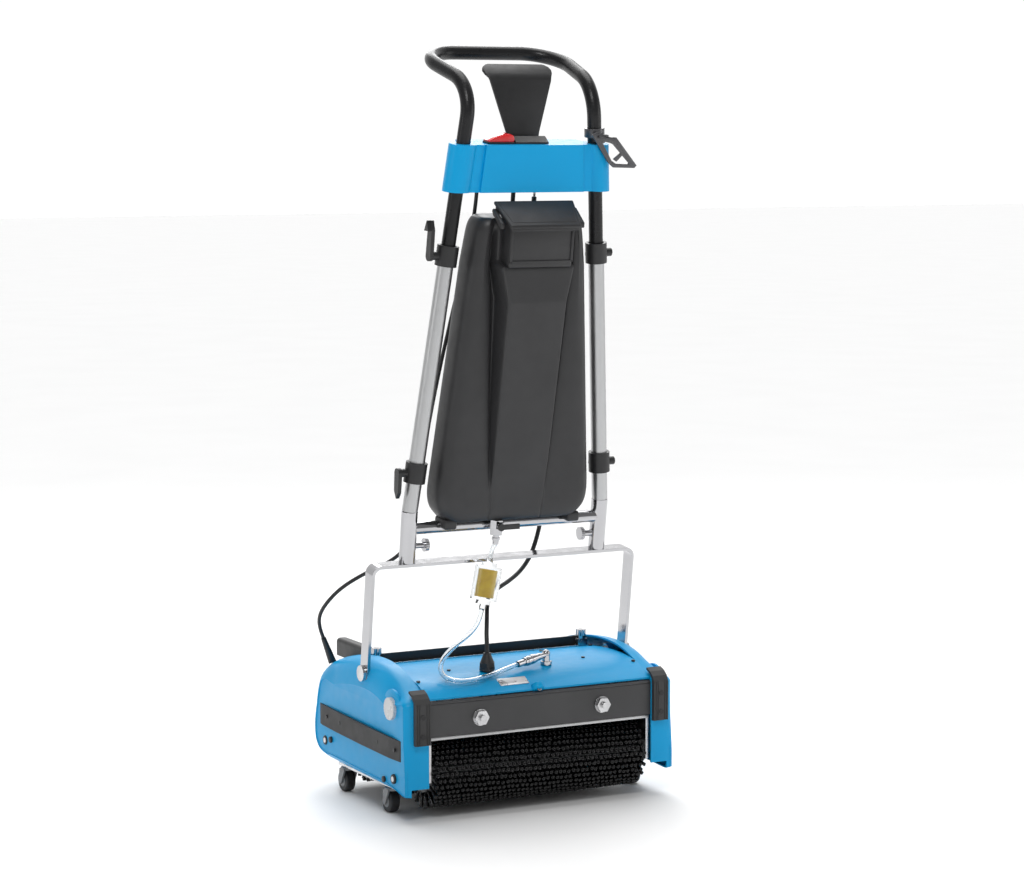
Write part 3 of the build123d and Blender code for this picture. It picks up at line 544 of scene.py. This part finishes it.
def tank_ring(z):
    """One cross-section of the tank: tongue, grooves, flanks, rounded sides and flat back."""
    half, face = between(z, TANK_HALF), between(z, TONGUE_FACE)
    out, deep, edge = between(z, TONGUE_OUT), between(z, GROOVE_DEEP), between(z, FLANK_EDGE)
    depth = between(z, TANK_DEPTH)
    front, foot = -32.0, min(face + 7, edge - 2)
    tongue = [(0, front - out), (face * 0.5, front - out), (face - 4, front - out),
              (face - 0.8, front - out + 0.4), (face + 1.2, front - out + 2)]
    groove = [(foot - 1.5, front + deep - min(2, out * 0.4)), (foot + 0.5, front + deep),
              (edge - 2, front + deep * 0.75), (edge - 0.5, front + deep * 0.25), (edge + 2.5, front - 0.2)]
    flank = [(edge + (half - edge) * 0.45, front - 2), (half - 20, front - 1.2), (half - 12, front + 0.8),
             (half - 4.5, front + 8), (half - 0.6, front + 17), (half, 0)]
    back = [(half - 0.6, 15), (half - 5, 25.5), (half - 13, 29.5), (half - 24, 30), (half * 0.45, 30),
            (0, 30)]
    right = tongue + groove + flank + back
    left = [(-x, y) for x, y in right[-2:0:-1]]
    return [Vector((x * MM, y * depth * MM, z * MM)) for x, y in right + left]


def solution_tank():
    """The moulded tank, its sloping filler neck with a raised rim, and its two feet."""
    vertices, faces = lofted([tank_ring(z) for z in TANK_ROWS])
    body = piece("tank_shell", vertices, faces, "tank_plastic", "handle", subdivide=2, in_handle=True)
    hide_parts("solution_tank")
    neck = [(-60.5, 652), (-60.5, 714), (-27, 735.8), (-27, 652)]
    flat("tank_neck", neck, -54.5, 54.5, "x", "tank_plastic", "handle", 0.003, True)
    rim = [(-62.2, 660), (-62.2, 712.4), (-60, 713.2), (-60, 660)]
    for word, side in SIDES:
        flat(f"neck_rib_{word}", rim, side * 54.8, side * 50.5, "x", "tank_plastic", "handle", 0.0008, True)
        rounded_box(f"tank_foot_{word}", (side * 109 - 11, side * 109 + 11), (-26, 12), (234, 250),
                    "tank_plastic", "handle", 0.004, True)
    for name, low, high in (("neck_lip", 660, 663.5), ("neck_brow", 708.5, 712.2)):
        rounded_box(name, (-54.8, 54.8), (-62.2, -58), (low, high), "tank_plastic", "handle", 0.0008, True)


def tank_lid():
    """Sloping lid with a thin turned-down edge, a raised panel and two side clips."""
    front_y, front_z, slope = -72, 719, 28 / 42

    def plate(name, half_front, half_rear, y0, y1, drop, thick, radius):
        top = [Vector((x * MM, y * MM, (front_z + (y - front_y) * slope - drop) * MM))
               for x, y in ((-half_front, y0), (half_front, y0), (half_rear, y1), (-half_rear, y1))]
        low = [p - Vector((0, 0, thick * MM)) for p in top]
        vertices, faces = lofted([low, top])
        return piece(name, vertices, faces, "tank_plastic", "lid", rounded=radius, segments=4, in_handle=True)
    top = plate("lid_plate", 61, 69.5, -72, -24.5, 0, 5.2, 0.0024)
    plate("lid_skirt", 58.6, 67, -69.6, -26.5, 4.8, 5.9, 0.0015)
    plate("lid_panel", 55.5, 63.5, -66, -29, -0.5, 1.4, 0.0006)
    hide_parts("tank_lid")
    clip = [(-60, 712), (-60, 720.5), (-30, 740), (-27, 736), (-31, 730)]
    for word, side in SIDES:
        flat(f"lid_clip_{word}", clip, side * 66, side * 73, "x", "tank_plastic", "lid", 0.0015, True)


# ---------------------------------------------------------------- side covers
# The cover's outline seen from the side, and its cross-section: distance from the middle and inset.
HOUSING = ((-155, 46), (-155, 41), (-150, 40.5), (-128, 40), (100, 44.5), (140, 46), (170, 56), (188, 80),
           (194, 118), (186, 160), (170, 188), (148, 205), (120, 215), (90, 222), (50, 228), (10, 231),
           (-30, 230), (-65, 224), (-95, 214), (-125, 201), (-148, 192), (-155, 184), (-155, 178))
COVER_RINGS = ((196.6, 0), (207, 0.6), (215, 2.4), (221, 5.5), (226, 10.5), (230, 17), (233, 25), (235.2, 34),
               (236.6, 43), (234.9, 45.5))
# The y and z of each lower screw, and whether it sits in a large cup.
COVER_SCREWS = ((143, 77, True), (120, 82, False), (-77, 57, False), (-112, 64, True))
COVER_WALL = 0.0028


def rounded_line(points, times):
    """A closed line with its corners cut a few times."""
    for _ in range(times):
        cut = []
        for (y0, z0), (y1, z1) in zip(points, points[1:] + points[:1]):
            cut.append((y0 * 0.75 + y1 * 0.25, z0 * 0.75 + z1 * 0.25))
            cut.append((y0 * 0.25 + y1 * 0.75, z0 * 0.25 + z1 * 0.75))
        points = cut
    return points


def inset_share(y, z):
    """How much of the inset a point of the outline takes: less low down, at the front and at the rear."""
    low = min(1, max(0.3, (z - 45) / 90))
    front = min(1, max(0.2, (y + 158) / 60))
    rear = 1 - 0.55 * min(1, max(0, (y - 120) / 50))
    return low * front * rear


def cover_ring(line, x, amount):
    """The outline at a distance from the middle, moved inwards by its share of an amount."""
    ring = []
    for i, (y, z) in enumerate(line):
        (ya, za), (yb, zb) = line[i - 1], line[(i + 1) % len(line)]
        run = sqrt((yb - ya) ** 2 + (zb - za) ** 2)
        step = amount * inset_share(y, z) / run
        ring.append(Vector((x, y - (zb - za) * step, z + (yb - ya) * step)) * MM)
    return ring


def side_cover(word, sign):
    """Moulded housing: a shoulder rolling over the arch, then a stepped-in panel and an open bottom."""
    line = rounded_line(list(HOUSING), 2)
    rings = [cover_ring(line, sign * x, amount) for x, amount in COVER_RINGS]
    vertices, faces = lofted(rings, closed_ends=False)
    count = len(line)
    panel = tuple(range((len(rings) - 1) * count, len(rings) * count))

    def at_bottom(face):
        centre = sum((vertices[i] for i in face), Vector()) / len(face)
        return centre.z < 0.05 and abs(centre.x) < 0.226
    faces = [face for face in faces if not at_bottom(face)] + [panel]
    shell = piece(f"cover_{word}", vertices, faces, "blue_plastic", None)
    wall = shell.modifiers.new("wall", "SOLIDIFY")
    wall.thickness, wall.offset = COVER_WALL, -1
    shell.data = baked(shell)
    shell.modifiers.clear()
    shell.data.set_sharp_from_angle(angle=radians(40))
    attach(shell, "base")
    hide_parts(f"side_cover_{word}")
    disc(f"knob_boss_{word}", (sign * 230, -103, 172), (sign * 234.2, -103, 172), 30, "blue_plastic",
         "base", 48)
    for n, (y, z, large) in enumerate(COVER_SCREWS):
        x = 237.6 if abs(y) < 130 else 236
        cup, head, slot = (7.5, 4.4, "steel") if large else (5, 2.5, "charcoal_plastic")
        disc(f"screw_cup_{word}_{n}", (sign * (x - 5), y, z), (sign * (x + 0.5), y, z), cup, "cable", "base")
        disc(f"cup_screw_{word}_{n}", (sign * x, y, z), (sign * (x + 0.9), y, z), head, slot, "base")
    disc(f"cover_pin_{word}", (sign * 221, -146, 177), (sign * 229.6, -146, 177), 3.4, "steel", "base")
    # Black disc where the cover has a hole: painted shade standing for the hole's dark inside.
    disc(f"painted_hole_shade_{word}", (sign * 221, -139, 154), (sign * 234, -139, 154), 3.2, "cable", "base")


def fasteners():
    """The front nuts in bright steel and every small screw in black, cut from the one CAD node."""
    source = frame["nodes"]["cover_fasteners"]
    nut_x, reach, front_y = 0.1075, 0.014, -0.148

    def on_nut(face):
        spot = source.matrix_world @ face.calc_center_median()
        return abs(abs(spot.x) - nut_x) < reach and spot.y < front_y
    for name, slot, wanted in (("front_nuts", "steel", True), ("small_screws", "cable", False)):
        mesh = source.data.copy()
        cut = bmesh.new()
        cut.from_mesh(mesh)
        gone = [face for face in cut.faces if on_nut(face) != wanted]
        bmesh.ops.delete(cut, geom=gone, context="FACES")
        cut.to_mesh(mesh)
        cut.free()
        mesh.transform(source.matrix_world)
        thing = bpy.data.objects.new(name, mesh)
        bpy.context.scene.collection.objects.link(thing)
        mesh.materials.clear()
        mesh.materials.append(FINISHES[slot])
        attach(thing, "base")
        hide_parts("cover_fasteners")


def trim():
    """Small fittings that carry no load: edge strip, tab, blank plate, cable tie rod and wheel hubs."""
    rounded_box("front_strip", (-193, 193), (-153.6, -148.6), (126, 130.6), "aluminium", "base", 0.0008)
    rounded_box("plate_lip", (-195, 195), (-154.3, -149), (181.5, 185.5), "charcoal_plastic", "base", 0.0015)
    disc("front_tab", (-4, -150, 188.6), (-4, -143.5, 195.8), 10, "blue_plastic", "base")
    disc("front_tab_screw", (-4, -151, 190), (-4, -152.6, 191.6), 4.2, "chrome", "base")
    plate = rounded_box("blank_plate", (-64, -14), (-139, -121), (0, 1.2), "steel", None, 0.0004)
    # The cover slopes down to the front here, so the plate is tilted about its own middle.
    middle = Vector((-0.039, -0.130, 0)) + MIDDLE
    plate.data.transform(Matrix.Translation(middle + Vector((0, 0, 0.2012)))
                         @ Matrix.Rotation(radians(27), 4, "X") @ Matrix.Translation(-middle))
    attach(plate, "base")
    disc("tie_rod", (25, 20, 748), (25, 20, 763), 2.2, "steel", "handle", 12, True)
    disc("tie_rod_cap", (25, 20, 741), (25, 20, 749), 4, "black_plastic", "handle", 12, True)
    for end in ("front", "rear"):
        for word, _ in SIDES:
            low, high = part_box(f"castor_wheel_{end}_{word}")
            middle = [(a + b) * 500 - c * 1000 for a, b, c in zip(low, high, MIDDLE)]
            disc(f"hub_{end}_{word}", (low[0] * 1000 - 0.7, middle[1], middle[2]),
                 (high[0] * 1000 + 0.7, middle[1], middle[2]), 10, "grey_plastic", f"wheel_{end}_{word}")


def paddle():
    """Dead-man paddle: a flared plate, then a flange bent back with rounded corners, and its stem."""
    # Place of each row on the front face, and half the width there.
    rows = ((25.6, 838, 26.5), (28.1, 849.4, 29), (36.6, 888.7, 41.5), (44.6, 925.4, 53), (46.4, 929.2, 54.5),
            (52, 933.6, 58.5), (58, 938.2, 60), (63, 942, 57.5), (66.4, 944.6, 52), (68, 945.8, 46))
    thick = 4.5
    rings = []
    for n, (y, z, half) in enumerate(rows):
        (ya, za, _), (yb, zb, _) = rows[max(0, n - 1)], rows[min(len(rows) - 1, n + 1)]
        run = sqrt((yb - ya) ** 2 + (zb - za) ** 2)
        back = Vector((0, (za - zb) / run * thick, (yb - ya) / run * thick))
        left, right = Vector((-half, y, z)), Vector((half, y, z))
        rings.append([(left + back) * MM, (right + back) * MM, right * MM, left * MM])
    vertices, faces = lofted(rings)
    plate = piece("paddle_plate", vertices, faces, "black_plastic", "paddle", rounded=0.001, in_handle=True)
    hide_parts("deadman_paddle")
    rounded_box("paddle_stem", (-5, 5), (24.3, 28.7), (816, 852), "black_plastic", "paddle", 0.0006, True)


def switch():
    """Red rocker under a domed cover, on a thin black base."""
    outline = [(-75, 838), (-32, 838), (-31, 842), (-33, 848), (-40, 850.5), (-52, 849), (-66, 844.5),
               (-75, 840)]
    rocker = flat("rocker", outline, -9, 11, "y", "red", "switch", 0.0016, True)
    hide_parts("red_switch")
    rounded_box("rocker_base", (-75.5, -31), (-10, 12.5), (835.3, 838.2), "black_plastic", "switch",
                0.0008, True)


def keeper():
    """Stamped cord keeper: a pierced plate hanging from a clamp ring on the right leg."""
    outer = [(92, 852), (101, 856), (126, 848), (136, 848), (176, 804), (172, 800), (134, 801), (124, 809)]
    inner = [(113, 838), (117, 841), (126, 839), (131, 837), (161, 808), (160, 806), (138, 807), (130, 812)]

    def ring(line, y):
        return [Vector((x, y, z)) * MM for x, z in line]
    vertices, faces = lofted([ring(outer, -30), ring(outer, -26.5), ring(inner, -26.5), ring(inner, -30)],
                             closed_ends=False)
    count = len(outer)
    faces += [(3 * count + i, 3 * count + (i + 1) % count, (i + 1) % count, i) for i in range(count)]
    plate = piece("keeper_plate", vertices, faces, "gunmetal", "keeper", rounded=0.0008, in_handle=True)
    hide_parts("cord_keeper")
    bar = [(133, 814), (147, 826), (151, 822), (139, 810)]
    flat("keeper_bar", bar, -29.8, -26.7, "y", "gunmetal", "keeper", 0.0006, True)
    vertices, faces = tube(metres((113.6, 0, 845), (112.3, 0, 859)), 0.0158, sides=40, bore=0.0114)
    piece("keeper_ring", vertices, faces, "gunmetal", "keeper", rounded=0.0006, in_handle=True)
    rounded_box("keeper_arm", (100, 122), (-30, -13), (846, 852), "gunmetal", "keeper", 0.001, True)


# ---------------------------------------------------------------- run everything
camera()
lamps()
backdrop()
floor()
cords()
brush("front", -0.105, "front_brush")
brush("rear", 0.105, "rear_brush")
solution_tank()
tank_lid()
for side_word, side_sign in SIDES:
    side_cover(side_word, side_sign)
fasteners()
trim()
paddle()
switch()
keeper()
